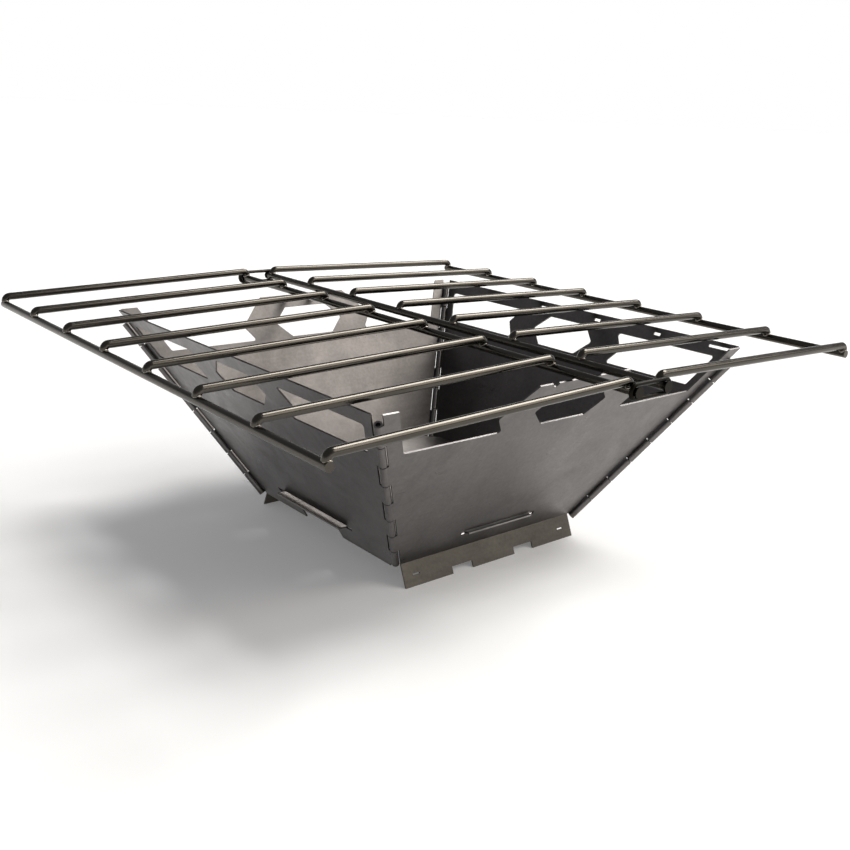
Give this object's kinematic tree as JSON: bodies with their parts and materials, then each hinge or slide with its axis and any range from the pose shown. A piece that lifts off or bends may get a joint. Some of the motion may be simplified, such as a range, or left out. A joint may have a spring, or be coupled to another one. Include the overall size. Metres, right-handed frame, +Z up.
{
  "type": "folding fire pit with grate",
  "caption": "Portable square fire pit of hinged, outward-leaning steel panels on splayed feet, with a loose folding rod grate on top.",
  "frame": {"origin": "on the ground, under the middle of the open grate; the middle of the bowl is 14 mm toward -Y from it", "axes": "+Z up; -Y is the side of one foot flange, called the front; +X is the side of the panel with the small vents, called the right"},
  "size_m": [0.499, 0.5012, 0.1803],
  "materials": {
    "sheet_steel": "cold-rolled stainless sheet, satin",
    "plate_steel": "cold-rolled stainless sheet, satin",
    "pin_steel": "drawn rod, satin",
    "rod_steel": "drawn rod, bright satin",
    "link_steel": "drawn wire, darkened"
  },
  "bodies": {
    "bowl": {"front_panel": "sheet_steel", "back_panel": "sheet_steel", "left_panel": "sheet_steel", "right_panel": "sheet_steel", "base_plate": "plate_steel", "pin_front_left": "pin_steel", "pin_front_right": "pin_steel", "pin_back_right": "pin_steel", "pin_back_left": "pin_steel"},
    "grate_link": {"front_link": "link_steel", "back_link": "link_steel"},
    "grate_left": {"left_outer_rod": "rod_steel", "left_inner_rod": "rod_steel", "left_bar_1": "rod_steel", "left_bar_2": "rod_steel", "left_bar_3": "rod_steel", "left_bar_4": "rod_steel", "left_bar_5": "rod_steel", "left_bar_6": "rod_steel", "left_bar_7": "rod_steel", "left_bar_8": "rod_steel"},
    "grate_right": {"right_inner_rod": "rod_steel", "right_outer_rod": "rod_steel", "right_bar_1": "rod_steel", "right_bar_2": "rod_steel", "right_bar_3": "rod_steel", "right_bar_4": "rod_steel", "right_bar_5": "rod_steel", "right_bar_6": "rod_steel", "right_bar_7": "rod_steel", "right_bar_8": "rod_steel"}
  },
  "joints": [
    {"name": "grate_lift", "type": "slide", "parent": "bowl", "child": "grate_link", "axis": [0, 0, 1], "range_m": [0, 0.2]},
    {"name": "grate_left_fold", "type": "hinge", "parent": "grate_link", "child": "grate_left", "pos_m": [-0.0145, 0, 0.17092], "axis": [0, 1, 0], "range_deg": [0, 90]},
    {"name": "grate_right_fold", "type": "hinge", "parent": "grate_link", "child": "grate_right", "pos_m": [0.0145, 0, 0.17092], "axis": [0, -1, 0], "range_deg": [0, 90]}
  ]
}
